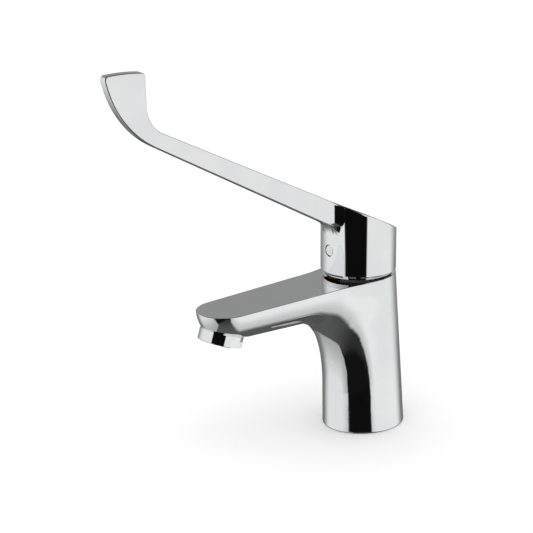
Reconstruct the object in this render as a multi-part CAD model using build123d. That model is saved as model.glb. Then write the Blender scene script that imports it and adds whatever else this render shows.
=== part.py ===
from build123d import *
import math
import os

# Single-lever basin tap with a long elbow lever. Millimetres, +Z up, origin at the centre of the
# base on the deck, spout and lever pointing to -Y, lever axis along Z at rest.

overrun = 20.0                  # how far a cutting shape runs past what it cuts
running_clearance = 0.05        # radial gap of a turning fit
sliding_clearance = 0.3         # gap of loose moving parts

# Column of the body
base_radius = 24.4
rim_radius = 21.9
body_height = 94.0
base_edge_radius = 1.0
top_edge_radius = 0.5

# Spout
spout_reach = 98.5              # tap axis to centre of the rounded tip
spout_root_half_width = 19.7    # its sides carried on to the tap axis
spout_tip_half_width = 16.9
spout_root_depth = 23.1         # the underside falls a little towards the column
spout_tip_depth = 18.8
spout_blend_reach = 15.0        # its sides turn into the rim of the column up to here
spout_bulge = 1.5               # the spout would be widest this far above its top
under_spout_forward = 25.5      # sweep from the column into the spout: how far forward
under_spout_drop = 48.0         # and how far down
column_sections = 5
fan_steps = 9                   # from the last section of the column to the first of the spout
spout_sections = 7
section_corner = 4              # how sharply the sections turn from the tap axis to the top
seam_turn = 1.0                 # degrees from the sides to the ends of a section

# Aerator: its axis leans outwards, its place is where it meets the spout
aerator_lean = 20.0
aerator_seat_offset = 2.8       # beyond the centre of the rounded tip
aerator_seat_drop = 12.8        # below the top of the spout
aerator_radius = 12.9
aerator_height = 7.0
aerator_thread_radius = 11.6
aerator_thread_length = 5.2
aerator_washer_thickness = 0.8
aerator_washer_inner_radius = 9.4
aerator_bore_radius = 10.0
aerator_mouth_radius = 9.2
aerator_lip_height = 0.8
aerator_flat_half_width = 11.7
aerator_flat_height = 4.0
aerator_flat_turn = 16.0        # the flats are where the thread stopped
aerator_edge_radius = 0.4
water_chamber_radius = 8.5
water_chamber_height = 2.0
insert_radius = 9.8
insert_recess = 0.6             # jet former above the lip
insert_height = 5.0
insert_rim_height = 1.2
jet_radius = 0.7
jet_ring_radii = (2.4, 4.9, 7.4)
jet_ring_counts = (6, 12, 18)
regulator_radius = 9.4
regulator_height = 1.8
regulator_hole_radius = 1.1
regulator_hole_ring = 5.5
regulator_hole_count = 8
screen_radius = 9.7
screen_thickness = 0.4
screen_hole = 1.2
screen_pitch = 2.0
screen_reach = 3                # holes each way from the middle

# Underside of the base
base_wall = 4.9                 # base recess to the outside of the foot
base_recess_depth = 8.0
gasket_lip = 0.8                # wall between base recess and gasket groove
gasket_inset = 1.6              # gasket groove to the outside of the foot
gasket_thickness = 1.6
hose_socket_radius = 4.55       # M10 x 1, minor radius
hose_socket_depth = 12.0
stud_hole_radius = 3.4          # M8, minor radius
stud_hole_depth = 14.0
stud_hole_offset = 11.5         # behind the axis

# Waterways
inlet_radius = 2.5
inlet_spread = 8.5
inlet_forward = 4.0
outlet_half_width = 3.0
outlet_near = 0.5
outlet_far = 8.0
channel_half_width = 4.0
channel_wall = 3.0              # under and in front of the channel
channel_roof = 4.5              # above the channel in the spout
seat_wall = 2.0                 # between the cartridge and the channel
low_channel_height = 4.5

# Cartridge seat in the body, measured down from the rim
seat_depth = 32.0
cartridge_bore_radius = 17.6
shoulder_depth = 12.0           # top of the cartridge shoulder
dish_radius = 21.3
dish_depth = 3.5
nut_radius = 19.0
nut_height = 4.1
nut_inner_radius = 11.8
nut_notch_width = 3.0
nut_notch_depth = 1.6
nut_notch_count = 6

# Cartridge
cartridge_radius = 17.4
cartridge_inner_radius = 15.2
base_flange_height = 4.5
base_spigot_height = 2.5
housing_roof = 2.0
neck_radius = 11.5
neck_height = 21.0
rotor_radius = 10.0
rotor_flange_radius = 14.9
rotor_flange_height = 1.5
rotor_rise = 1.0                # rotor above the neck
disc_thickness = 3.5
fixed_disc_radius = 14.5
moving_disc_radius = 10.5
pocket_depth = 1.8
pocket_half_width = 7.8
pocket_front = 1.5
pocket_back = 6.0
carrier_radius = 11.0
carrier_thickness = 2.0
carrier_lip_depth = 1.2
carrier_lip_width = 0.45
post_half_width = 3.6
post_half_depth = 4.0
post_wall = 1.35
peg_radius = 1.4
peg_length = 1.8
peg_clearance = 0.15
peg_spread = 12.5
peg_back = 5.0
seal_width = 1.2
seal_height = 1.2
disc_seal_height = 0.8
housing_seal_width = 1.2
housing_seal_height = 1.6
housing_seal_rise = 5.5         # above the foot of the housing
rotor_seal_width = 0.75
rotor_seal_height = 1.4
rotor_seal_rise = 2.5           # above the rotor flange
limiter_radius = 12.4
limiter_height = 3.0
limiter_notch = 0.5             # deep, as wide, and twice as high
limiter_notch_count = 24

# Tilting stem
pivot_rise = 12.0               # above the rim
pin_radius = 1.5
pin_half_length = 8.8
lug_radius = 3.4
lug_half_width = 9.2
stem_half_width = 4.0
stem_top_rise = 15.0            # above the pivot
stem_square_drop = 4.0          # square part below the pivot
foot_arm = 16.0                 # pivot to foot
foot_radius = 2.4
foot_half_length = 2.1
arm_half_width = 2.1
lever_travel = 24.0             # degrees from closed to open

# Handle cap
handle_radius = 22.4
handle_gap = 1.0                # above the rim, on the axis
handle_bevel_width = 1.5
handle_bevel_height = 2.2
handle_axis_height = 35.65      # height of the cap on its axis
handle_rest_lean = 2.5          # the closed cap leans back, which opens the gap at the front
handle_wall = 2.4
handle_roof = 5.0
boss_half_width = 6.5
boss_pivot_gap = 0.5            # between boss and pivot lugs
set_screw_rise = 4.9            # above the pivot
set_screw_radius = 2.45
set_screw_length = 12.0
set_screw_socket_radius = 1.3
set_screw_socket_depth = 3.0
set_screw_tube_radius = 4.2
plug_radius = 3.3
plug_gap = 0.3
plug_thickness = 2.6
plug_recess = 0.5               # plug face behind the front of the cap
plug_edge = 0.3

# Elbow lever, seen from the side
lever_top_slope = 28.7          # top of cap and lever
lever_under_slope = 30.6
lever_root_depth = 15.5         # vertical depth where the underside leaves the cap
lever_root_half_width = 6.0
lever_tip_half_width = 2.75
lever_root_fillet = 10.0
lever_inner_reach = 12.0        # where the lever starts inside the cap
lever_root_reach = 36.0         # the root fillet ends before this
lever_edge_radius = 1.0
paddle_back_reach = 146.6       # tap axis to the upright back of the paddle
paddle_length = 26.4            # upright back to the tip at the front
paddle_rise = 30.5              # upright back, up from the line of the lever's top
paddle_back_drop = 2.2          # the top of the paddle falls towards the back
paddle_crown = 0.7
paddle_inner_radius = 19.0
paddle_start_lead = 4.0         # the outer curve leaves the underside before the upright back
paddle_corner_radius = 2.4

# Places worked out from the sizes above
rim_z = body_height
seat_z = rim_z - seat_depth
shoulder_z = rim_z - shoulder_depth
dish_z = rim_z - dish_depth
nut_z = shoulder_z + nut_height
housing_z = seat_z + base_flange_height
fixed_disc_z = housing_z + base_spigot_height
moving_disc_z = fixed_disc_z + disc_thickness
carrier_z = moving_disc_z + disc_thickness
rotor_z = carrier_z + carrier_thickness + sliding_clearance
housing_roof_z = shoulder_z - housing_roof
neck_z = shoulder_z + neck_height
rotor_top_z = neck_z + rotor_rise
pivot_z = rim_z + pivot_rise
swing = lever_travel / 2
disc_offset = foot_arm * math.sin(math.radians(swing))
foot_z = pivot_z - foot_arm * math.cos(math.radians(swing))
foot_low_z = pivot_z - foot_arm - foot_radius
post_top_z = foot_z + foot_radius / 2
post_slot_half_depth = post_half_depth - post_wall
stem_top_z = pivot_z + stem_top_rise
base_recess_radius = base_radius - base_wall
gasket_inner_radius = base_recess_radius + gasket_lip
gasket_outer_radius = base_radius - gasket_inset
aerator_seat_reach = spout_reach + aerator_seat_offset
handle_z = rim_z + handle_gap
handle_bore_radius = handle_radius - handle_wall
boss_z = pivot_z + lug_radius + boss_pivot_gap
set_screw_z = pivot_z + set_screw_rise
cap_top_z = handle_z + handle_axis_height
paddle_front_reach = paddle_back_reach + paddle_length
paddle_start_reach = paddle_back_reach - paddle_start_lead
paddle_back_z = (cap_top_z + paddle_back_reach * math.tan(math.radians(lever_top_slope))
                 + paddle_rise)
paddle_top_z = paddle_back_z + paddle_back_drop


def ring(outer, inner, low, high):
    """Plain ring about the tap axis."""
    body = cylinder(outer, low, high)
    return body - cylinder(inner, low - overrun, high + overrun)


def cylinder(radius, low, high, x=0.0, y=0.0):
    """Upright cylinder between two heights."""
    return Pos(x, y, low) * Solid.make_cylinder(radius, high - low)


def block(x0, x1, y0, y1, z0, z1):
    """Box between two corners."""
    return Pos(x0, y0, z0) * Solid.make_box(x1 - x0, y1 - y0, z1 - z0)


def cross_cylinder(radius, half_length, y, z):
    """Cylinder along X."""
    frame = Plane(origin=(-half_length, y, z), x_dir=(0, 1, 0), z_dir=(1, 0, 0))
    return Solid.make_cylinder(radius, 2 * half_length, frame)


def front_cylinder(radius, near, far, z):
    """Cylinder along the front direction, from near to far off the tap axis."""
    frame = Plane(origin=(0, -near, z), x_dir=(1, 0, 0), z_dir=(0, -1, 0))
    return Solid.make_cylinder(radius, far - near, frame)


def leaned(shape):
    """The closed handle and stem lean back about the pivot."""
    return Pos(0, 0, pivot_z) * Rot(-handle_rest_lean, 0, 0) * Pos(0, 0, -pivot_z) * shape


def side_slab(edges, half_width):
    """Outline in the YZ plane, thickened both ways along X."""
    face = Face(Wire(edges))
    return Solid.extrude(face, Vector(2 * half_width, 0, 0)).moved(Pos(-half_width, 0, 0))


def lathe(points):
    """Solid of revolution about Z from (radius, height) points."""
    face = Face(Wire.make_polygon([Vector(r, 0, z) for r, z in points], close=True))
    return Solid.revolve(face, 360, Axis.Z)


# Body: one smooth form, whose sections turn from the round column into the trough of the spout
def column_radius(z):
    return base_radius + (rim_radius - base_radius) * z / body_height


def spout_half_width(reach):
    """Half width of the spout at the top, with a smooth turn into the rim."""
    slope = (spout_tip_half_width - spout_root_half_width) / spout_reach
    share = min(reach / spout_blend_reach, 1)
    extra = (rim_radius - spout_root_half_width) * (1 + 2 * share) - slope * spout_blend_reach * share
    return spout_root_half_width + slope * reach + extra * (1 - share) ** 2


def spout_floor(reach):
    depth = spout_root_depth + (spout_tip_depth - spout_root_depth) * reach / spout_reach
    return rim_z - depth


def sweep_ends():
    """Sweep under the spout: its low end, the corner that it rounds, and its far end."""
    taper = (base_radius - rim_radius) / body_height
    rise = (spout_root_depth - spout_tip_depth) / spout_reach
    reach = (base_radius - taper * (rim_z - spout_root_depth)) / (1 + taper * rise)
    low_z = spout_floor(reach) - under_spout_drop
    far_reach = reach + under_spout_forward
    return [
        Vector(0, -column_radius(low_z), low_z),
        Vector(0, -reach, spout_floor(reach)),
        Vector(0, -far_reach, spout_floor(far_reach)),
    ]


def inward(turn):
    """Direction into the body, level at the column and upright at the spout."""
    return Vector(0, math.cos(math.radians(turn)), math.sin(math.radians(turn)))


def sweep_turn(angle):
    along = math.radians(angle)
    return math.degrees(math.atan2(under_spout_forward * math.sin(along),
                                   under_spout_drop * math.cos(along)))


def sweep_point(angle, wall=0.0):
    """Point of the sweep, or the point a wall inside it."""
    low, corner, far = sweep_ends()
    along = math.radians(angle)
    point = corner + (low - corner) * (1 - math.sin(along)) + (far - corner) * (1 - math.cos(along))
    return point + inward(sweep_turn(angle)) * wall


def body_section(start, turn, half_width, depth, past):
    """Half ellipse from a point of the underside inwards, with straight ends that run past it."""
    frame = Plane(origin=start + inward(turn) * depth, x_dir=(1, 0, 0), z_dir=inward(turn + 90))
    curve = Edge.make_ellipse(half_width, depth, frame, 180 + seam_turn, 360 - seam_turn)
    ends = [curve @ 1, (curve @ 1) + (curve % 1) * past, (curve @ 0) - (curve % 0) * past, curve @ 0]
    return Wire([curve] + [Edge.make_line(a, b) for a, b in zip(ends[:-1], ends[1:])])


def fan_section(angle):
    """Section of the bend, as deep as the tap axis or the top of the spout, whichever is nearer."""
    start = sweep_point(angle)
    way = inward(sweep_turn(angle))
    to_axis = -start.Y / way.Y
    to_top = (rim_z + spout_bulge - start.Z) / way.Z
    end = start + way * min(to_axis, to_top)
    half_width = column_radius(end.Z) if to_axis < to_top else spout_half_width(-end.Y)
    depth = (to_axis ** -section_corner + to_top ** -section_corner) ** (-1 / section_corner)
    return body_section(start, sweep_turn(angle), half_width, depth,
                        min(to_axis, to_top) - depth + overrun / 2)


def round_end(form, y, turn):
    """Round end of the body: the flat end of a form at y, turned about its middle."""
    flats = [
        f for f in form.faces()
        if f.geom_type == GeomType.PLANE and abs(f.center().Y - y) < running_clearance
    ]
    half = flats[0] & block(0, base_radius + overrun, y - overrun, y + overrun, -overrun,
                            rim_z + overrun)
    return Solid.revolve(half.faces()[0], turn, Axis((0, y, 0), (0, 0, 1)))


def body_form():
    ends = sweep_ends()
    low, far = ends[0], ends[-1]
    sections = []
    for step in range(column_sections):
        z = low.Z * step / (column_sections - 1)
        radius = column_radius(z)
        sections.append(body_section(Vector(0, -radius, z), 0, radius, radius, overrun / 2))
    for step in range(1, fan_steps):
        sections.append(fan_section(90 * step / fan_steps))
    for step in range(spout_sections):
        reach = (spout_reach + far.Y) * step / (spout_sections - 1) - far.Y
        start = Vector(0, -reach, spout_floor(reach))
        sections.append(body_section(start, 90, spout_half_width(reach),
                                     rim_z + spout_bulge - start.Z, overrun / 2))
    wide = base_radius + overrun
    form = Solid.make_loft(sections) & block(-wide, wide, -spout_reach - overrun, 0, 0, rim_z)
    form = form.solids()[0]
    form += [round_end(form, 0, 180), round_end(form, -spout_reach, -180)]
    form -= at_aerator(cylinder(spout_tip_depth, -spout_tip_depth, 0))
    foot = [e for e in form.edges() if e.center().Z < base_edge_radius]
    form = form.fillet(base_edge_radius, foot)
    brim = [e for e in form.edges() if e.center().Z > rim_z - top_edge_radius]
    return form.fillet(top_edge_radius, brim)


def aerator_frame():
    """Frame at the aerator seat, its Z pointing up into the spout."""
    lean = math.radians(aerator_lean)
    origin = (0, -aerator_seat_reach, rim_z - aerator_seat_drop)
    return Plane(origin=origin, x_dir=(1, 0, 0), z_dir=(0, math.sin(lean), math.cos(lean)))


def at_aerator(shape):
    return aerator_frame().location * shape


def water_channel():
    """Passage from below the cartridge, up the front of the column and along the spout."""
    low_z = seat_z - seat_wall - low_channel_height
    roof_z = rim_z - channel_roof
    front_y = -cartridge_bore_radius - seat_wall
    nut_y = -nut_radius - seat_wall - running_clearance
    socket_y = -aerator_seat_reach + aerator_thread_radius
    angles = [90 * step / fan_steps for step in range(fan_steps + 1)]
    inner = [sweep_point(angle, channel_wall) for angle in angles]
    inner = [point for point in inner if point.Z > low_z]
    curve = Edge.make_spline(inner)
    points = [
        inner[-1],
        Vector(0, socket_y + channel_wall, spout_floor(-socket_y) + channel_wall),
        Vector(0, socket_y - channel_wall, roof_z - low_channel_height),
        Vector(0, -aerator_seat_reach + water_chamber_radius, roof_z - low_channel_height),
        Vector(0, -aerator_seat_reach + water_chamber_radius, roof_z),
        Vector(0, nut_y - water_chamber_radius, roof_z),
        Vector(0, nut_y, shoulder_z - seat_wall),
        Vector(0, front_y, shoulder_z - 2 * seat_wall),
        Vector(0, front_y, seat_z - seat_wall),
        Vector(0, outlet_far, seat_z - seat_wall),
        Vector(0, outlet_far, low_z),
        Vector(0, inner[0].Y, low_z),
        inner[0],
    ]
    lines = [Edge.make_line(a, b) for a, b in zip(points[:-1], points[1:])]
    return side_slab([curve] + lines, channel_half_width)


def outlet_slot(low, high):
    return block(-outlet_half_width, outlet_half_width, outlet_near, outlet_far, low, high)


def inlet_pair(radius, low, high):
    return [cylinder(radius, low, high, side * inlet_spread, -inlet_forward) for side in (-1, 1)]


def peg_pair(radius, low, high):
    return [cylinder(radius, low, high, side * peg_spread, peg_back) for side in (-1, 1)]


def body_shell():
    form = body_form()
    cuts = [
        lathe([
            (0, seat_z),
            (cartridge_bore_radius, seat_z),
            (cartridge_bore_radius, shoulder_z - housing_roof),
            (nut_radius, shoulder_z - housing_roof),
            (nut_radius, dish_z),
            (dish_radius, rim_z),
            (dish_radius, rim_z + overrun),
            (0, rim_z + overrun),
        ]),
        water_channel(),
        outlet_slot(seat_z - seat_wall - low_channel_height, seat_z + overrun),
        cylinder(base_recess_radius, -overrun, base_recess_depth),
        ring(gasket_outer_radius, gasket_inner_radius, -overrun, gasket_thickness),
        cylinder(stud_hole_radius, 0, base_recess_depth + stud_hole_depth, 0, stud_hole_offset),
        at_aerator(cylinder(aerator_thread_radius, -overrun,
                            aerator_thread_length + aerator_washer_thickness)),
        at_aerator(cylinder(water_chamber_radius, 0, aerator_thread_length
                            + aerator_washer_thickness + water_chamber_height)),
    ]
    cuts += inlet_pair(inlet_radius, base_recess_depth, seat_z + overrun)
    cuts += inlet_pair(hose_socket_radius, 0, base_recess_depth + hose_socket_depth)
    cuts += peg_pair(peg_radius + peg_clearance, seat_z - peg_length - peg_clearance, seat_z + overrun)
    for cut in cuts:
        form -= cut
    return form


def base_gasket():
    return ring(gasket_outer_radius, gasket_inner_radius, 0, gasket_thickness)


# Aerator, modelled upright on its seat and then leaned
def aerator_housing():
    bead = aerator_edge_radius
    shape = lathe([
        (aerator_mouth_radius, -aerator_height),
        (aerator_radius - bead, -aerator_height),
        (aerator_radius, -aerator_height + bead),
        (aerator_radius, -bead),
        (aerator_radius - bead, 0),
        (aerator_thread_radius, 0),
        (aerator_thread_radius, aerator_thread_length),
        (aerator_bore_radius, aerator_thread_length),
        (aerator_bore_radius, -aerator_height + aerator_lip_height),
        (aerator_mouth_radius, -aerator_height + aerator_lip_height),
    ])
    for side in (0, 180):
        flat = block(aerator_flat_half_width, aerator_flat_half_width + overrun, -overrun, overrun,
                     -aerator_height - overrun, -aerator_height + aerator_flat_height)
        shape -= Rot(0, 0, aerator_flat_turn + side) * flat
    return at_aerator(shape)


insert_low = -aerator_height + aerator_lip_height
insert_top = insert_low + insert_height
regulator_top = insert_top + regulator_height


def aerator_insert():
    shape = cylinder(insert_radius, insert_low, insert_top)
    shape -= cylinder(insert_radius - insert_rim_height, insert_low - overrun, insert_low + insert_recess)
    for radius, count in zip(jet_ring_radii, jet_ring_counts):
        for step in range(count):
            turn = 2 * math.pi * step / count
            shape -= cylinder(jet_radius, insert_low - overrun, insert_top + overrun,
                              radius * math.cos(turn), radius * math.sin(turn))
    return at_aerator(shape)


def flow_regulator():
    shape = cylinder(regulator_radius, insert_top, regulator_top)
    for step in range(regulator_hole_count):
        turn = 2 * math.pi * step / regulator_hole_count
        shape -= cylinder(regulator_hole_radius, insert_top - overrun, regulator_top + overrun,
                          regulator_hole_ring * math.cos(turn), regulator_hole_ring * math.sin(turn))
    return at_aerator(shape)


def aerator_screen():
    shape = cylinder(screen_radius, regulator_top, regulator_top + screen_thickness)
    steps = range(-screen_reach, screen_reach + 1)
    for row in steps:
        for column in steps:
            x, y = row * screen_pitch, column * screen_pitch
            if math.hypot(x, y) > screen_radius - screen_pitch:
                continue
            shape -= block(x - screen_hole / 2, x + screen_hole / 2, y - screen_hole / 2,
                           y + screen_hole / 2, regulator_top - overrun, regulator_top + overrun)
    return at_aerator(shape)


def aerator_washer():
    return at_aerator(ring(aerator_thread_radius, aerator_washer_inner_radius, aerator_thread_length,
                           aerator_thread_length + aerator_washer_thickness))


# Cartridge, from its foot upwards
def cartridge_base():
    shape = cylinder(cartridge_radius, seat_z, housing_z)
    shape += cylinder(cartridge_inner_radius, housing_z, fixed_disc_z)
    for peg in peg_pair(peg_radius, seat_z - peg_length, seat_z + peg_length):
        shape += peg
    shape -= outlet_slot(seat_z - overrun, fixed_disc_z + overrun)
    for inlet in inlet_pair(inlet_radius, seat_z - overrun, fixed_disc_z + overrun):
        shape -= inlet
    for seat in seal_forms(seat_z - overrun, seat_z + seal_height):
        shape -= seat
    for seat in seal_forms(fixed_disc_z - disc_seal_height, fixed_disc_z + overrun):
        shape -= seat
    return shape


def seal_forms(low, high):
    """Three seals, one round each port."""
    forms = []
    for side in (-1, 1):
        outer = cylinder(inlet_radius + seal_width, low, high, side * inlet_spread, -inlet_forward)
        forms.append(outer - cylinder(inlet_radius, low - overrun, high + overrun,
                                      side * inlet_spread, -inlet_forward))
    reach = outlet_half_width + seal_width
    outer = block(-reach, reach, outlet_near - seal_width, outlet_far + seal_width, low, high)
    forms.append(outer - outlet_slot(low - overrun, high + overrun))
    return forms


def base_seals():
    return Compound(children=seal_forms(seat_z, seat_z + seal_height))


def disc_seal():
    return Compound(children=seal_forms(fixed_disc_z - disc_seal_height, fixed_disc_z))


def fixed_disc():
    shape = cylinder(fixed_disc_radius, fixed_disc_z, moving_disc_z)
    shape -= outlet_slot(fixed_disc_z - overrun, moving_disc_z + overrun)
    for inlet in inlet_pair(inlet_radius, fixed_disc_z - overrun, moving_disc_z + overrun):
        shape -= inlet
    return shape


def moving_disc():
    shape = cylinder(moving_disc_radius, moving_disc_z, carrier_z, 0, disc_offset)
    shape -= block(-pocket_half_width, pocket_half_width, disc_offset - pocket_front,
                   disc_offset + pocket_back, moving_disc_z - overrun, moving_disc_z + pocket_depth)
    return shape


def disc_carrier():
    plate_z = carrier_z + carrier_thickness
    shape = cylinder(carrier_radius, carrier_z - carrier_lip_depth, plate_z, 0, disc_offset)
    shape -= cylinder(carrier_radius - carrier_lip_width, carrier_z - overrun, carrier_z, 0, disc_offset)
    shape += block(-post_half_width, post_half_width, disc_offset - post_half_depth,
                   disc_offset + post_half_depth, carrier_z + carrier_thickness / 2, post_top_z)
    pocket_half = foot_half_length + sliding_clearance
    shape -= block(-pocket_half, pocket_half, disc_offset - post_slot_half_depth,
                   disc_offset + post_slot_half_depth, foot_low_z - sliding_clearance,
                   post_top_z + overrun)
    return shape


def cartridge_housing():
    bore = rotor_radius + running_clearance
    shape = lathe([
        (cartridge_inner_radius, housing_z),
        (cartridge_radius, housing_z),
        (cartridge_radius, shoulder_z),
        (neck_radius, shoulder_z),
        (neck_radius, neck_z),
        (bore, neck_z),
        (bore, housing_roof_z),
        (cartridge_inner_radius, housing_roof_z),
    ])
    return shape - housing_seal_form(cartridge_radius + overrun)


def housing_seal_form(outer):
    low = housing_z + housing_seal_rise
    return ring(outer, cartridge_bore_radius - housing_seal_width, low, low + housing_seal_height)


def housing_seal():
    return housing_seal_form(cartridge_bore_radius)


def rotor_seal_form(outer):
    low = rotor_z + rotor_flange_height + rotor_seal_rise
    return ring(outer, rotor_radius - rotor_seal_width, low, low + rotor_seal_height)


def rotor_seal():
    return rotor_seal_form(rotor_radius)


def rotor():
    slot_half_width = post_half_width + sliding_clearance
    slot_half_depth = disc_offset + post_half_depth + sliding_clearance
    lug_gap = stem_half_width + sliding_clearance
    shape = cylinder(rotor_radius, rotor_z, rotor_top_z)
    shape += cylinder(rotor_flange_radius, rotor_z, rotor_z + rotor_flange_height)
    shape += block(-lug_half_width, lug_half_width, -lug_radius, lug_radius,
                   rotor_top_z - lug_radius, pivot_z)
    shape += cross_cylinder(lug_radius, lug_half_width, 0, pivot_z)
    shape -= block(-slot_half_width, slot_half_width, -slot_half_depth, slot_half_depth,
                   rotor_z - overrun, pivot_z + overrun)
    shape -= block(-lug_gap, lug_gap, -rotor_radius - overrun, rotor_radius + overrun,
                   neck_z - 2 * stem_square_drop, pivot_z + overrun)
    shape -= cross_cylinder(pin_radius, rotor_radius, 0, pivot_z)
    return shape - rotor_seal_form(rotor_radius + overrun)


def pivot_pin():
    return cross_cylinder(pin_radius, pin_half_length, 0, pivot_z)


def stem():
    shape = leaned(block(-stem_half_width, stem_half_width, -stem_half_width, stem_half_width,
                         pivot_z - stem_square_drop, stem_top_z))
    arm = block(-foot_half_length, foot_half_length, -arm_half_width, arm_half_width, -foot_arm, 0)
    shape += Pos(0, 0, pivot_z) * Rot(swing, 0, 0) * arm
    shape += cross_cylinder(foot_radius, foot_half_length, disc_offset, foot_z)
    shape -= cross_cylinder(pin_radius + running_clearance, stem_half_width + overrun, 0, pivot_z)
    return shape


def cartridge_nut():
    shape = ring(nut_radius, nut_inner_radius, shoulder_z, nut_z)
    for step in range(nut_notch_count):
        notch = block(nut_radius - 2 * nut_notch_depth, nut_radius + overrun, -nut_notch_width / 2,
                      nut_notch_width / 2, nut_z - nut_notch_depth, nut_z + overrun)
        shape -= Rot(0, 0, 360 * step / nut_notch_count) * notch
    return shape


def limiter_ring():
    top_z = nut_z + limiter_height
    shape = ring(limiter_radius, neck_radius, nut_z, top_z)
    for step in range(limiter_notch_count):
        notch = block(limiter_radius - limiter_notch, limiter_radius + overrun, -limiter_notch / 2,
                      limiter_notch / 2, top_z - 2 * limiter_notch, top_z + overrun)
        shape -= Rot(0, 0, 360 * step / limiter_notch_count) * notch
    return shape


# Handle: cap with slanted top, and the lever in line with it
def cap_top(y):
    return cap_top_z - y * math.tan(math.radians(lever_top_slope))


def above_cap(drop):
    """Everything above the slanted top, or above a plane that far below it."""
    lowered = cap_top_z - drop / math.cos(math.radians(lever_top_slope))
    reach = handle_radius + 2 * overrun
    slab = block(-reach, reach, -reach, reach, 0, handle_axis_height + overrun)
    return Pos(0, 0, lowered) * Rot(-lever_top_slope, 0, 0) * slab


def lever_under(y):
    """Height of the underside of the lever."""
    root = cap_top(-handle_radius) - lever_root_depth
    return root + (-handle_radius - y) * math.tan(math.radians(lever_under_slope))


def tangent_joint(corner, before, after, radius):
    """Arc of a radius that rounds the corner between two directions."""
    turn = before.get_angle(after)
    reach = radius * math.tan(math.radians(turn / 2))
    start = corner - before.normalized() * reach
    end = corner + after.normalized() * reach
    return Edge.make_tangent_arc(start, before, end)


def uphill(slope):
    """Direction along the front of the tap that rises at an angle."""
    return Vector(0, -math.cos(math.radians(slope)), math.sin(math.radians(slope)))


def lever_outline():
    """Side outline of the lever: straight arm, curved up into a flared paddle."""
    inner_y = -lever_inner_reach
    back_y = -paddle_back_reach
    front_y = -paddle_front_reach
    start_y = -paddle_start_reach
    elbow = tangent_joint(Vector(0, back_y, cap_top(back_y)), uphill(lever_top_slope),
                          Vector(0, 0, 1), paddle_inner_radius)
    back_top = Vector(0, back_y, paddle_back_z)
    front_top = Vector(0, front_y, paddle_top_z)
    crown = Vector(0, (back_y + front_y) / 2, (paddle_back_z + paddle_top_z) / 2 + paddle_crown)
    start = Vector(0, start_y, lever_under(start_y))
    outer = Edge.make_tangent_arc(start, uphill(lever_under_slope), front_top)
    first = Vector(0, inner_y, cap_top(inner_y))
    last = Vector(0, inner_y, lever_under(inner_y))
    return [
        Edge.make_line(first, elbow @ 0),
        elbow,
        Edge.make_line(elbow @ 1, back_top),
        Edge.make_three_point_arc(back_top, crown, front_top),
        outer,
        Edge.make_line(start, last),
        Edge.make_line(last, first),
    ]


def lever_plan():
    """Plan outline of the lever, wide at the cap and thin at the paddle."""
    taper = (lever_root_half_width - lever_tip_half_width) / (paddle_front_reach - handle_radius)
    ends = []
    for reach in (lever_inner_reach, paddle_front_reach + overrun):
        ends.append((reach, lever_root_half_width - taper * (reach - handle_radius)))
    points = [Vector(half_width, -reach, 0) for reach, half_width in ends]
    points += [Vector(-half_width, -reach, 0) for reach, half_width in reversed(ends)]
    face = Face(Wire.make_polygon(points, close=True))
    return Solid.extrude(face, Vector(0, 0, paddle_top_z + overrun))


def lever_arm():
    """Lever from the end of its root to the paddle, with rounded edges."""
    slab = side_slab(lever_outline(), lever_root_half_width + overrun)
    corners = [
        e for e in slab.edges()
        if e.center().Z > paddle_top_z - 2 * paddle_corner_radius and is_across(e)
    ]
    arm = slab.fillet(paddle_corner_radius, corners) & lever_plan()
    reach = handle_radius + overrun
    arm -= block(-reach, reach, -lever_root_reach, reach, 0, paddle_top_z + overrun)
    past_root = -lever_root_reach - running_clearance
    rims = [e for e in arm.edges() if e.center().Y < past_root and not is_across(e)]
    return arm.fillet(lever_edge_radius, rims)


def is_across(edge):
    """True for an edge that runs along X."""
    return abs((edge % 0.5).X) > math.cos(math.radians(lever_under_slope))


def lever_root():
    """Start of the lever, taller than the cap until the slanted top is cut."""
    corners = []
    for reach in (lever_inner_reach, lever_root_reach):
        corners.append(Vector(0, -reach, lever_under(-reach)))
    for reach in (lever_root_reach, lever_inner_reach):
        corners.append(Vector(0, -reach, cap_top(-reach) + overrun / 2))
    lines = [Edge.make_line(a, b) for a, b in zip(corners, corners[1:] + corners[:1])]
    root = side_slab(lines, lever_root_half_width + overrun) & lever_plan()
    middle = lever_under(-(lever_inner_reach + lever_root_reach) / 2)
    rims = [
        e for e in root.edges()
        if abs(e.center().Z - middle) < lever_edge_radius and not is_across(e)
    ]
    return root.fillet(lever_edge_radius, rims)


def handle_form():
    """Outside of cap and lever as one casting."""
    tall = cap_top(-handle_radius) + overrun
    cap = leaned(lathe([
        (0, handle_z),
        (handle_radius - handle_bevel_width, handle_z),
        (handle_radius, handle_z + handle_bevel_height),
        (handle_radius, tall),
        (0, tall),
    ]))
    form = cap + lever_root()
    seam = [
        e for e in form.edges()
        if abs(e.center().X) < lever_root_half_width + running_clearance
        and abs(e.center().Y + handle_radius) < lever_root_fillet / 2
        and lever_under(-handle_radius) - lever_root_fillet < e.center().Z < cap_top(-handle_radius)
    ]
    form = form.fillet(lever_root_fillet, seam) - above_cap(0)
    rim = [
        e for e in form.edges()
        if abs(e.center().Z - cap_top(e.center().Y)) < running_clearance
        and abs(e.center().Y + lever_root_reach) > running_clearance
    ]
    return form.fillet(lever_edge_radius, rim) + lever_arm()


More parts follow.
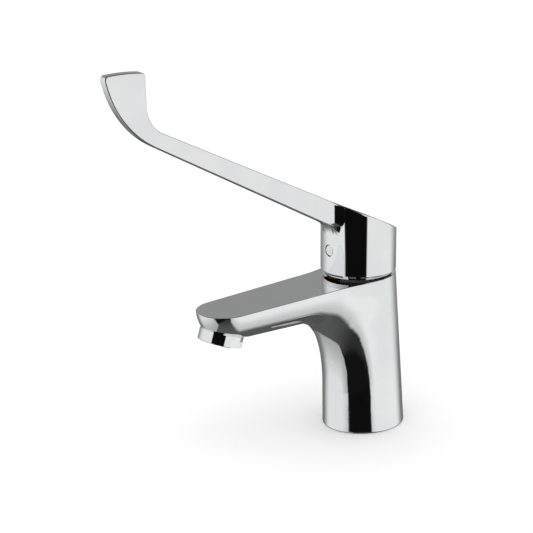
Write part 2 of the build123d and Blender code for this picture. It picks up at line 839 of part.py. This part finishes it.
def handle():
    shape = handle_form()
    cavity = cylinder(handle_bore_radius, handle_z - overrun, cap_top(-handle_radius))
    cavity -= block(-boss_half_width, boss_half_width, -boss_half_width, boss_half_width, boss_z,
                    cap_top(-handle_radius) + overrun)
    cavity -= front_cylinder(set_screw_tube_radius, stem_half_width, handle_radius, set_screw_z)
    shape -= leaned(cavity) - above_cap(handle_roof)
    socket = stem_half_width + running_clearance
    cuts = [
        block(-socket, socket, -socket, socket, handle_z, stem_top_z),
        front_cylinder(set_screw_radius, 0, handle_radius + overrun, set_screw_z),
        front_cylinder(plug_radius + plug_gap, handle_radius - plug_recess - plug_thickness,
                       handle_radius + overrun, set_screw_z),
    ]
    for cut in cuts:
        shape -= leaned(cut)
    return shape


def set_screw():
    near = stem_half_width
    shape = front_cylinder(set_screw_radius, near, near + set_screw_length, set_screw_z)
    shape -= front_cylinder(set_screw_socket_radius, near + set_screw_length - set_screw_socket_depth,
                            near + set_screw_length + overrun, set_screw_z)
    return leaned(shape)


def index_plug():
    far = handle_radius - plug_recess
    shape = front_cylinder(plug_radius, far - plug_thickness, far, set_screw_z)
    rim = [e for e in shape.edges() if abs(e.center().Y + far) < plug_edge]
    return leaned(shape.chamfer(plug_edge, plug_edge, rim))


parts = {
    "body_shell": body_shell,
    "base_gasket": base_gasket,
    "aerator_housing": aerator_housing,
    "aerator_insert": aerator_insert,
    "flow_regulator": flow_regulator,
    "aerator_screen": aerator_screen,
    "aerator_washer": aerator_washer,
    "cartridge_base": cartridge_base,
    "base_seals": base_seals,
    "disc_seal": disc_seal,
    "fixed_disc": fixed_disc,
    "moving_disc": moving_disc,
    "disc_carrier": disc_carrier,
    "cartridge_housing": cartridge_housing,
    "housing_seal": housing_seal,
    "rotor": rotor,
    "rotor_seal": rotor_seal,
    "pivot_pin": pivot_pin,
    "stem": stem,
    "cartridge_nut": cartridge_nut,
    "limiter_ring": limiter_ring,
    "handle": handle,
    "set_screw": set_screw,
    "index_plug": index_plug,
}

os.makedirs("parts", exist_ok=True)
for name, make in parts.items():
    export_step(make(), "parts/" + name + ".step")
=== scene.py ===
import bpy
import math
from mathutils import Matrix, Vector

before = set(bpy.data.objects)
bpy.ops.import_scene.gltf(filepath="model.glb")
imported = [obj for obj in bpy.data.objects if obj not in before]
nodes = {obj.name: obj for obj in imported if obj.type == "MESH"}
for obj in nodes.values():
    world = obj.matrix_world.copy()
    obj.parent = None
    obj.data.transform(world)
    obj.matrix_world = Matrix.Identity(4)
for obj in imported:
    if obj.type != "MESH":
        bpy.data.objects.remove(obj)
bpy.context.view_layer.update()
bpy.context.scene.view_settings.view_transform = "Standard"
print("frame loaded")

# the photograph's view, in its own 533 pixel square
cameraSet = {
    "azimuth": 51.25, "elevation": 18.81, "roll": -1.53,  # degrees, azimuth 0 looks from the front
    "distance": 1.5, "anchor": (0.0, 0.0, 0.08),  # metres, a point on the tap's axis
    "anchorPixel": (359.43, 293.77), "pictureSize": 533.0, "focalPixels": 2521.6,
    "sensor": 36.0, "clipEnd": 20.0,
}


def makeCamera(s):
    az, el, roll = (math.radians(s[k]) for k in ("azimuth", "elevation", "roll"))
    back = Vector((math.sin(az) * math.cos(el), -math.cos(az) * math.cos(el), math.sin(el)))
    right = Vector((math.cos(az), math.sin(az), 0.0))
    up = back.cross(right)
    facing = Matrix((right, up, back)).transposed()  # looks straight at the anchor
    half = s["pictureSize"] / 2
    aim = Vector(((s["anchorPixel"][0] - half) / s["focalPixels"],
                  -(s["anchorPixel"][1] - half) / s["focalPixels"], -1.0)).normalized()
    swing = Vector((0.0, 0.0, -1.0)).rotation_difference(aim).to_matrix()
    tilt = Matrix.Rotation(roll, 3, aim)
    turn = facing @ (tilt @ swing).transposed()
    data = bpy.data.cameras.new("photoCamera")
    data.sensor_fit = "HORIZONTAL"
    data.sensor_width = s["sensor"]
    data.lens = s["focalPixels"] / s["pictureSize"] * s["sensor"]
    data.clip_end = s["clipEnd"]
    camera = bpy.data.objects.new("photoCamera", data)
    bpy.context.scene.collection.objects.link(camera)
    camera.matrix_world = Matrix.Translation(Vector(s["anchor"]) + back * s["distance"]) @ turn.to_4x4()
    bpy.context.scene.camera = camera


makeCamera(cameraSet)
print("camera set")


# small helpers for node trees
def setSockets(tree, node, values):
    for key, value in values.items():
        if isinstance(value, bpy.types.NodeSocket):
            tree.links.new(value, node.inputs[key])
        else:
            node.inputs[key].default_value = value
    return node


def addNode(tree, kind, values=None, **settings):
    node = tree.nodes.new(kind)
    for key, value in settings.items():
        setattr(node, key, value)
    return setSockets(tree, node, values or {})


def doMath(tree, operation, *values):
    return addNode(tree, "ShaderNodeMath", dict(enumerate(values)), operation=operation).outputs[0]


def fade(tree, value, ends):  # 0 at the first end, 1 at the second
    rising = ends[0] < ends[1]
    node = addNode(tree, "ShaderNodeMapRange", {
        "Value": value, "From Min": min(ends), "From Max": max(ends),
        "To Min": 0.0 if rising else 1.0, "To Max": 1.0 if rising else 0.0,
    }, interpolation_type="SMOOTHSTEP")
    return node.outputs["Result"]


def blendTo(tree, share, below, above):
    node = addNode(tree, "ShaderNodeMix", {"Factor": share, "A": below, "B": above}, data_type="FLOAT")
    return node.outputs["Result"]


def blendColors(tree, share, below, above):
    node = addNode(tree, "ShaderNodeMix", data_type="RGBA")
    for socket, value in ((node.inputs["Factor"], share), (node.inputs[6], below), (node.inputs[7], above)):
        if isinstance(value, bpy.types.NodeSocket):
            tree.links.new(value, socket)
        else:
            socket.default_value = value
    return node.outputs[2]


# A white tent with a dark opening where the camera stands. Side 0 is the camera's side, in degrees.
# Below the horizon a direction is given by where it meets a deck at unit depth: across, and near
# towards the camera.
studioSet = {
    "backdrop": 1.0,  # what the camera sees behind the tap
    "light": 0.86,  # the even light on everything that isn't polished
    "panel": 0.85, "rear": 0.3, "rearSide": (100.0, 150.0),
    "ceiling": 0.12, "ceilingHeight": (22.0, 56.0),
    "opening": 0.004, "openingLeft": (-44.0, -38.0), "openingRight": (27.0, 22.0),
    "deckHeight": (-20.5, -17.0),
    "leftEdge": 0.5, "leftLean": 1.12, "leftFrom": 0.85, "leftSoft": (0.05, -0.05),
    "rightEdge": 0.58, "rightLean": 0.45, "rightFrom": 1.2, "rightSoft": (0.13, -0.1),
    "leftGlow": (0.42, 0.83), "leftReach": (-0.1, 1.6),
    "rightGlow": (0.58, 0.9), "rightReach": (0.0, 0.9),
    "darkSlant": 0.9, "darkFrom": (1.3, 1.8), "dark": 0.007,
    "dimNear": (0.1, 1.9), "dim": (0.1, 0.03), "middle": (-0.1, 0.1), "leastDepth": 0.01,
    "deckRear": 0.19, "deckRearSide": (108.0, 148.0),
}


def deckPattern(tree, s, across, near, side):
    def beyond(value, edge, lean, start):  # how far a point lies past a leaning edge
        bent = doMath(tree, "MAXIMUM", doMath(tree, "SUBTRACT", near, start), 0.0)
        return doMath(tree, "SUBTRACT", doMath(tree, "SUBTRACT", value, edge),
                      doMath(tree, "MULTIPLY", bent, lean))

    pastLeft = beyond(doMath(tree, "MULTIPLY", across, -1.0), s["leftEdge"], s["leftLean"], s["leftFrom"])
    pastRight = beyond(across, s["rightEdge"], s["rightLean"], s["rightFrom"])
    inside = doMath(tree, "MULTIPLY", fade(tree, pastLeft, s["leftSoft"]),
                    fade(tree, pastRight, s["rightSoft"]))
    leftLight = blendTo(tree, fade(tree, pastLeft, s["leftReach"]), *s["leftGlow"])
    rightLight = blendTo(tree, fade(tree, pastRight, s["rightReach"]), *s["rightGlow"])
    light = blendTo(tree, fade(tree, across, s["middle"]), leftLight, rightLight)
    behind = fade(tree, doMath(tree, "ABSOLUTE", side), s["deckRearSide"])
    light = blendTo(tree, behind, light, s["deckRear"])
    dim = blendTo(tree, fade(tree, near, s["dimNear"]), *s["dim"])
    slant = doMath(tree, "SUBTRACT", near, doMath(tree, "MULTIPLY", across, s["darkSlant"]))
    dark = blendTo(tree, fade(tree, slant, s["darkFrom"]), dim, s["dark"])
    return blendTo(tree, inside, light, dark)


def makeStudio(s, azimuth):
    world = bpy.data.worlds.new("studio")
    bpy.context.scene.world = world
    world.use_nodes = True
    tree = world.node_tree
    tree.nodes.clear()
    coord = addNode(tree, "ShaderNodeTexCoord")
    turned = addNode(tree, "ShaderNodeVectorRotate",
                     {"Vector": coord.outputs["Generated"], "Angle": -math.radians(azimuth)},
                     rotation_type="Z_AXIS")
    parts = addNode(tree, "ShaderNodeSeparateXYZ", {"Vector": turned.outputs["Vector"]})
    x, z = parts.outputs["X"], parts.outputs["Z"]
    y = doMath(tree, "MULTIPLY", parts.outputs["Y"], -1.0)
    side = doMath(tree, "DEGREES", doMath(tree, "ARCTAN2", x, y))
    height = doMath(tree, "DEGREES", doMath(tree, "ARCSINE", z))

    opening = doMath(tree, "MULTIPLY", fade(tree, side, s["openingLeft"]),
                     fade(tree, side, s["openingRight"]))
    walls = blendTo(tree, fade(tree, doMath(tree, "ABSOLUTE", side), s["rearSide"]), s["panel"], s["rear"])
    walls = blendTo(tree, fade(tree, height, s["ceilingHeight"]), walls, s["ceiling"])
    walls = blendTo(tree, opening, walls, s["opening"])
    depth = doMath(tree, "MAXIMUM", doMath(tree, "MULTIPLY", z, -1.0), s["leastDepth"])  # never zero
    deck = deckPattern(tree, s, doMath(tree, "DIVIDE", x, depth), doMath(tree, "DIVIDE", y, depth), side)
    seen = blendTo(tree, fade(tree, height, s["deckHeight"]), deck, walls)

    path = addNode(tree, "ShaderNodeLightPath")
    level = blendTo(tree, path.outputs["Is Glossy Ray"], s["light"], seen)
    level = blendTo(tree, path.outputs["Is Camera Ray"], level, s["backdrop"])
    background = addNode(tree, "ShaderNodeBackground", {"Color": (1.0, 1.0, 1.0, 1.0), "Strength": level})
    addNode(tree, "ShaderNodeOutputWorld", {"Surface": background.outputs["Background"]})


makeStudio(studioSet, cameraSet["azimuth"])

# floor and softbox; polished metal sees neither, it sees the deck that the studio draws
floorSet = {"size": 6.0, "color": (0.86, 0.86, 0.86, 1.0), "seenColor": (1.2, 1.2, 1.2, 1.0),
            "roughness": 0.9}
lampSet = {"place": (0.5, -0.5, 1.4), "size": 0.9, "power": 2.0}


def emptyMaterial(name):
    material = bpy.data.materials.new(name)
    material.use_nodes = True
    return material, material.node_tree, material.node_tree.nodes["Principled BSDF"]


def makeFloor(s):
    bpy.ops.object.select_all(action="DESELECT")
    bpy.ops.mesh.primitive_plane_add(size=s["size"], location=(0.0, 0.0, 0.0))
    floor = bpy.context.active_object
    floor.name = "floor"
    material, tree, shader = emptyMaterial("paleFloor")
    path = addNode(tree, "ShaderNodeLightPath")
    color = blendColors(tree, path.outputs["Is Camera Ray"], s["color"], s["seenColor"])
    setSockets(tree, shader, {"Base Color": color, "Roughness": s["roughness"]})
    floor.data.materials.append(material)
    floor.visible_glossy = False


def makeLamp(s):
    data = bpy.data.lights.new("softbox", "AREA")
    data.size = s["size"]
    data.energy = s["power"]
    lamp = bpy.data.objects.new("softbox", data)
    bpy.context.scene.collection.objects.link(lamp)
    place = Vector(s["place"])
    lamp.matrix_world = Matrix.Translation(place) @ place.to_track_quat("Z", "Y").to_matrix().to_4x4()
    lamp.visible_glossy = False


makeFloor(floorSet)
makeLamp(lampSet)
print("studio lit")


# effects that several finishes share
def newGroup(name, inputs, outputs):
    group = bpy.data.node_groups.new(name, "ShaderNodeTree")
    for label, kind, value in inputs:
        socket = group.interface.new_socket(name=label, in_out="INPUT", socket_type=kind)
        if value is not None:
            socket.default_value = value
    for label in outputs:
        group.interface.new_socket(name=label, in_out="OUTPUT", socket_type="NodeSocketFloat")
    return group, group.nodes.new("NodeGroupInput").outputs, group.nodes.new("NodeGroupOutput")


def noise(tree, vector, scale, detail):
    return addNode(tree, "ShaderNodeTexNoise",
                   {"Vector": vector, "Scale": scale, "Detail": detail}).outputs["Fac"]


polishSet = {"scale": 60.0, "hazeDetail": 3.0, "hazeBand": (0.35, 0.7),
             "rippleScale": 0.6, "rippleDetail": 1.0}  # the ripple's scale is a share of the haze's


def makePolishGroup(s):  # the faint clouding and ripple that a buffing wheel leaves
    group, given, out = newGroup("polish", [("Vector", "NodeSocketVector", None),
                                            ("Scale", "NodeSocketFloat", s["scale"])],
                                 ["Haze", "Ripple"])
    clouds = noise(group, given["Vector"], given["Scale"], s["hazeDetail"])
    wide = doMath(group, "MULTIPLY", given["Scale"], s["rippleScale"])
    setSockets(group, out, {"Haze": fade(group, clouds, s["hazeBand"]),
                            "Ripple": noise(group, given["Vector"], wide, s["rippleDetail"])})
    return group


hairlineSet = {"scale": 900.0, "angles": (0.35, 2.1), "stretch": (1.0, 0.03, 1.0), "detail": 2.0,
               "band": (0.66, 0.74)}


def makeHairlineGroup(s):  # long thin scratches along two crossing directions
    group, given, out = newGroup("hairlines", [("Vector", "NodeSocketVector", None),
                                               ("Scale", "NodeSocketFloat", s["scale"])], ["Mask"])
    masks = []
    for angle in s["angles"]:
        turned = addNode(group, "ShaderNodeVectorRotate",
                         {"Vector": given["Vector"], "Rotation": (angle, angle / 2, angle)},
                         rotation_type="EULER_XYZ")
        drawn = addNode(group, "ShaderNodeVectorMath",
                        {0: turned.outputs["Vector"], 1: s["stretch"]}, operation="MULTIPLY")
        lines = noise(group, drawn.outputs["Vector"], given["Scale"], s["detail"])
        masks.append(fade(group, lines, s["band"]))
    setSockets(group, out, {"Mask": doMath(group, "MAXIMUM", *masks)})
    return group


def axisDistance(tree, x, y):
    squares = [doMath(tree, "MULTIPLY", value, value) for value in (x, y)]
    return doMath(tree, "SQRT", doMath(tree, "ADD", *squares))


turnedSet = {"pitch": 0.0004, "stainScale": 300.0, "stainDetail": 2.0}


def makeTurnedGroup(s):  # tool marks of a lathe whose axis is the vector's Z
    group, given, out = newGroup("turned", [("Vector", "NodeSocketVector", None),
                                            ("Pitch", "NodeSocketFloat", s["pitch"])],
                                 ["Height", "Mask"])
    parts = addNode(group, "ShaderNodeSeparateXYZ", {"Vector": given["Vector"]}).outputs
    along = doMath(group, "ADD", axisDistance(group, parts["X"], parts["Y"]), parts["Z"])
    turns = doMath(group, "DIVIDE", doMath(group, "MULTIPLY", along, 2 * math.pi), given["Pitch"])
    rings = addNode(group, "ShaderNodeMapRange", {"Value": doMath(group, "SINE", turns), "From Min": -1.0})
    stain = noise(group, given["Vector"], s["stainScale"], s["stainDetail"])
    setSockets(group, out, {"Height": rings.outputs["Result"],
                            "Mask": doMath(group, "MULTIPLY", rings.outputs["Result"], stain)})
    return group


mouldSet = {"scale": 1500.0, "skinDetail": 4.0, "toneScale": 120.0, "toneDetail": 2.0,
            "toneBand": (0.3, 0.7)}


def makeMouldGroup(s):  # the fine skin of a moulded surface, with slow drifts in tone
    group, given, out = newGroup("mouldSkin", [("Vector", "NodeSocketVector", None),
                                               ("Scale", "NodeSocketFloat", s["scale"])],
                                 ["Height", "Tone"])
    drift = noise(group, given["Vector"], s["toneScale"], s["toneDetail"])
    setSockets(group, out, {"Height": noise(group, given["Vector"], given["Scale"], s["skinDetail"]),
                            "Tone": fade(group, drift, s["toneBand"])})
    return group


polishGroup = makePolishGroup(polishSet)
hairlineGroup = makeHairlineGroup(hairlineSet)
turnedGroup = makeTurnedGroup(turnedSet)
mouldGroup = makeMouldGroup(mouldSet)
print("shared effects made")


def placeGroup(tree, group, values):
    node = tree.nodes.new("ShaderNodeGroup")
    node.node_tree = group
    return setSockets(tree, node, values).outputs


def objectPoint(tree, place=(0.0, 0.0, 0.0), turn=(0.0, 0.0, 0.0)):  # a point in the piece's own frame
    coord = addNode(tree, "ShaderNodeTexCoord")
    shifted = addNode(tree, "ShaderNodeVectorMath",
                      {0: coord.outputs["Object"], 1: place}, operation="SUBTRACT")
    angles = [math.radians(angle) for angle in turn]
    turned = addNode(tree, "ShaderNodeVectorRotate",
                     {"Vector": shifted.outputs["Vector"], "Rotation": angles}, rotation_type="EULER_XYZ")
    return turned.outputs["Vector"]


def bumpFrom(tree, height, distance, below=None):
    values = {"Height": height, "Distance": distance, "Strength": 1.0}
    if below is not None:
        values["Normal"] = below
    return addNode(tree, "ShaderNodeBump", values).outputs["Normal"]


# polished chrome, bare brass where the plating doesn't reach
chromeSet = {
    "color": (0.88, 0.885, 0.89, 1.0), "clouded": (0.85, 0.857, 0.866, 1.0),
    "roughness": 0.012, "haze": 0.012, "scratch": 0.03,
    "polishScale": 55.0, "scratchScale": 700.0, "ripple": 6e-6,
    "bareRoughness": 0.32, "toolPitch": 0.0005, "toolDepth": 4e-6,
}
bodySet = {"bare": (0.6, 0.46, 0.25, 1.0), "boreRadius": 0.01905, "boreTop": 0.0885,
           "recessRadius": 0.0196, "recessDepth": 0.0081, "underside": 0.0001}
capSet = {"bare": (0.3, 0.3, 0.31, 1.0), "boreRadius": 0.0201, "lean": 2.5, "pivot": 0.106,
          "topSlope": 28.7, "topHeight": 0.13065, "roof": 0.0045}


def bareBody(tree, point, s):
    parts = addNode(tree, "ShaderNodeSeparateXYZ", {"Vector": point}).outputs
    radius = axisDistance(tree, parts["X"], parts["Y"])
    bore = doMath(tree, "MULTIPLY", doMath(tree, "LESS_THAN", radius, s["boreRadius"]),
                  doMath(tree, "LESS_THAN", parts["Z"], s["boreTop"]))
    recess = doMath(tree, "MULTIPLY", doMath(tree, "LESS_THAN", radius, s["recessRadius"]),
                    doMath(tree, "LESS_THAN", parts["Z"], s["recessDepth"]))
    foot = doMath(tree, "LESS_THAN", parts["Z"], s["underside"])
    return doMath(tree, "MAXIMUM", bore, doMath(tree, "MAXIMUM", recess, foot))


def bareCap(tree, point, s):
    parts = addNode(tree, "ShaderNodeSeparateXYZ", {"Vector": point}).outputs
    rise = doMath(tree, "SUBTRACT", parts["Z"], s["pivot"])
    shift = doMath(tree, "MULTIPLY", rise, math.tan(math.radians(s["lean"])))
    y = doMath(tree, "SUBTRACT", parts["Y"], shift)
    bore = doMath(tree, "LESS_THAN", axisDistance(tree, parts["X"], y), s["boreRadius"])
    slope = math.tan(math.radians(s["topSlope"]))
    top = doMath(tree, "SUBTRACT", s["topHeight"] - s["roof"], doMath(tree, "MULTIPLY", parts["Y"], slope))
    return doMath(tree, "MULTIPLY", bore, doMath(tree, "LESS_THAN", parts["Z"], top))


def makeChrome(name, s, bareMask=None, where=None):
    material, tree, shader = emptyMaterial(name)
    point = objectPoint(tree)
    polish = placeGroup(tree, polishGroup, {"Vector": point, "Scale": s["polishScale"]})
    lines = placeGroup(tree, hairlineGroup, {"Vector": point, "Scale": s["scratchScale"]})
    color = blendColors(tree, polish["Haze"], s["color"], s["clouded"])
    rough = doMath(tree, "MULTIPLY_ADD", polish["Haze"], s["haze"], s["roughness"])
    rough = doMath(tree, "MULTIPLY_ADD", lines["Mask"], s["scratch"], rough)
    normal = bumpFrom(tree, polish["Ripple"], s["ripple"])
    if bareMask:
        bare = bareMask(tree, point, where)
        marks = placeGroup(tree, turnedGroup, {"Vector": point, "Pitch": s["toolPitch"]})
        color = blendColors(tree, bare, color, where["bare"])
        rough = blendTo(tree, bare, rough, s["bareRoughness"])
        depth = doMath(tree, "MULTIPLY", marks["Height"], bare)
        normal = bumpFrom(tree, depth, s["toolDepth"], normal)
    setSockets(tree, shader, {"Base Color": color, "Roughness": rough, "Normal": normal, "Metallic": 1.0})
    return material


# bare metals: turned, drawn or stamped
# the vector of a turned piece starts on its own axis, at place, and is turned so that Z runs along it
metalGrain = {"polishScale": 260.0, "scratchScale": 1500.0}
# the nut's brass colour and its worn colour are both darkened to a dark brown: painted shade, as if the nut
# stood in shadow under the cap
nutShadedBrassSet = {"color": (0.26, 0.23, 0.17, 1.0), "worn": (0.13, 0.115, 0.085, 1.0), "roughness": 0.34,
          "spread": 0.2, "pitch": 0.0006, "depth": 6e-6}
stemSet = {"color": (0.6, 0.6, 0.59, 1.0), "worn": (0.48, 0.48, 0.48, 1.0), "roughness": 0.3,
           "spread": 0.15, "pitch": 0.0005, "depth": 3e-6}
pinSet = {"color": (0.66, 0.66, 0.65, 1.0), "worn": (0.55, 0.55, 0.55, 1.0), "roughness": 0.18,
          "spread": 0.12, "pitch": 0.0003, "depth": 2e-6, "place": (0.0, 0.0, 0.106),
          "turn": (0.0, 90.0, 0.0)}
screwSet = {"color": (0.5, 0.5, 0.51, 1.0), "worn": (0.34, 0.34, 0.36, 1.0), "roughness": 0.3,
            "spread": 0.2, "pitch": 0.0008, "depth": 5e-5, "place": (0.0, 0.0, 0.1109),
            "turn": (92.5, 0.0, 0.0)}
plugSet = {"color": (0.84, 0.85, 0.86, 1.0), "worn": (0.76, 0.77, 0.78, 1.0), "roughness": 0.14,
           "spread": 0.12, "pitch": 0.0004, "depth": 2e-6, "place": (0.0, 0.0, 0.1109),
           "turn": (92.5, 0.0, 0.0)}


def makeTurnedMetal(name, s, grain=metalGrain):
    material, tree, shader = emptyMaterial(name)
    point = objectPoint(tree, s.get("place", (0.0, 0.0, 0.0)), s.get("turn", (0.0, 0.0, 0.0)))
    marks = placeGroup(tree, turnedGroup, {"Vector": point, "Pitch": s["pitch"]})
    polish = placeGroup(tree, polishGroup, {"Vector": point, "Scale": grain["polishScale"]})
    lines = placeGroup(tree, hairlineGroup, {"Vector": point, "Scale": grain["scratchScale"]})
    wear = doMath(tree, "MAXIMUM", doMath(tree, "MULTIPLY", polish["Haze"], marks["Mask"]), lines["Mask"])
    rough = doMath(tree, "MULTIPLY_ADD", polish["Haze"], s["spread"], s["roughness"])
    setSockets(tree, shader, {
        "Base Color": blendColors(tree, wear, s["color"], s["worn"]), "Roughness": rough,
        "Normal": bumpFrom(tree, marks["Height"], s["depth"]), "Metallic": 1.0,
    })
    return material


# moulded plastic, rubber and ceramic
mouldedScratchScale = 1200.0
whiteAcetalSet = {"color": (0.8, 0.8, 0.77, 1.0), "tone": (0.74, 0.74, 0.7, 1.0), "roughness": 0.32,
                  "spread": 0.12, "skin": 1400.0, "depth": 8e-6}
greyAcetalSet = {"color": (0.4, 0.41, 0.43, 1.0), "tone": (0.34, 0.35, 0.37, 1.0), "roughness": 0.36,
                 "spread": 0.12, "skin": 1400.0, "depth": 8e-6}
redAcetalSet = {"color": (0.42, 0.055, 0.04, 1.0), "tone": (0.34, 0.04, 0.03, 1.0), "roughness": 0.34,
                "spread": 0.12, "skin": 1400.0, "depth": 8e-6}
rubberSet = {"color": (0.022, 0.022, 0.023, 1.0), "tone": (0.045, 0.045, 0.046, 1.0), "roughness": 0.55,
             "spread": 0.25, "skin": 2600.0, "depth": 1.5e-5}
ceramicSet = {"color": (0.87, 0.86, 0.82, 1.0), "tone": (0.82, 0.8, 0.75, 1.0), "roughness": 0.1,
              "spread": 0.1, "skin": 4000.0, "depth": 1.5e-6}


def makeMoulded(name, s):
    material, tree, shader = emptyMaterial(name)
    point = objectPoint(tree)
    skin = placeGroup(tree, mouldGroup, {"Vector": point, "Scale": s["skin"]})
    lines = placeGroup(tree, hairlineGroup, {"Vector": point, "Scale": mouldedScratchScale})
    share = doMath(tree, "MAXIMUM", skin["Tone"], lines["Mask"])
    setSockets(tree, shader, {
        "Base Color": blendColors(tree, share, s["color"], s["tone"]),
        "Roughness": doMath(tree, "MULTIPLY_ADD", skin["Tone"], s["spread"], s["roughness"]),
        "Normal": bumpFrom(tree, skin["Height"], s["depth"]),
    })
    return material


# woven steel of the aerator's screen, square to the leaning aerator
screenSet = {"color": (0.62, 0.62, 0.61, 1.0), "paintedWeaveShade": (0.3, 0.3, 0.3, 1.0), "roughness": 0.25,
             "spread": 0.15, "wire": 0.0004, "depth": 6e-5, "polishScale": 400.0, "turn": (-20.0, 0.0, 0.0)}


def makeScreen(name, s):
    material, tree, shader = emptyMaterial(name)
    point = objectPoint(tree, turn=s["turn"])
    parts = addNode(tree, "ShaderNodeSeparateXYZ", {"Vector": point}).outputs
    turns = [doMath(tree, "MULTIPLY", parts[k], math.pi / s["wire"]) for k in ("X", "Y")]
    waves = doMath(tree, "MULTIPLY", *(doMath(tree, "SINE", turn) for turn in turns))
    woven = addNode(tree, "ShaderNodeMapRange", {"Value": waves, "From Min": -1.0}).outputs["Result"]
    polish = placeGroup(tree, polishGroup, {"Vector": point, "Scale": s["polishScale"]})
    setSockets(tree, shader, {
        # darker where the weave dips between the wires: painted shade in the gaps, not a colour of the
        # steel
        "Base Color": blendColors(tree, woven, s["paintedWeaveShade"], s["color"]),
        "Roughness": doMath(tree, "MULTIPLY_ADD", polish["Haze"], s["spread"], s["roughness"]),
        "Normal": bumpFrom(tree, woven, s["depth"]), "Metallic": 1.0,
    })
    return material


finishes = [
    (makeChrome("bodyChrome", chromeSet, bareBody, bodySet), ["body_shell"]),
    (makeChrome("leverChrome", chromeSet, bareCap, capSet), ["handle"]),
    (makeChrome("trimChrome", chromeSet), ["aerator_housing"]),
    (makeTurnedMetal("plugFinish", plugSet), ["index_plug"]),
    (makeTurnedMetal("nutBrassPaintedShade", nutShadedBrassSet), ["cartridge_nut"]),
    (makeTurnedMetal("stemSteel", stemSet), ["stem"]),
    (makeTurnedMetal("pinSteel", pinSet), ["pivot_pin"]),
    (makeTurnedMetal("screwSteel", screwSet), ["set_screw"]),
    (makeScreen("screenSteel", screenSet), ["aerator_screen"]),
    (makeMoulded("whiteAcetal", whiteAcetalSet), ["cartridge_base", "disc_carrier", "rotor"]),
    (makeMoulded("greyAcetal", greyAcetalSet), ["cartridge_housing", "aerator_insert", "flow_regulator"]),
    (makeMoulded("redAcetal", redAcetalSet), ["limiter_ring"]),
    (makeMoulded("sealRubber", rubberSet), ["base_gasket", "base_seals", "disc_seal", "housing_seal",
                                            "rotor_seal", "aerator_washer"]),
    (makeMoulded("discCeramic", ceramicSet), ["fixed_disc", "moving_disc"]),
]
for material, names in finishes:
    for name in names:
        nodes[name].data.materials.clear()
        nodes[name].data.materials.append(material)
print("finishes assigned to", sum(len(names) for material, names in finishes), "pieces")
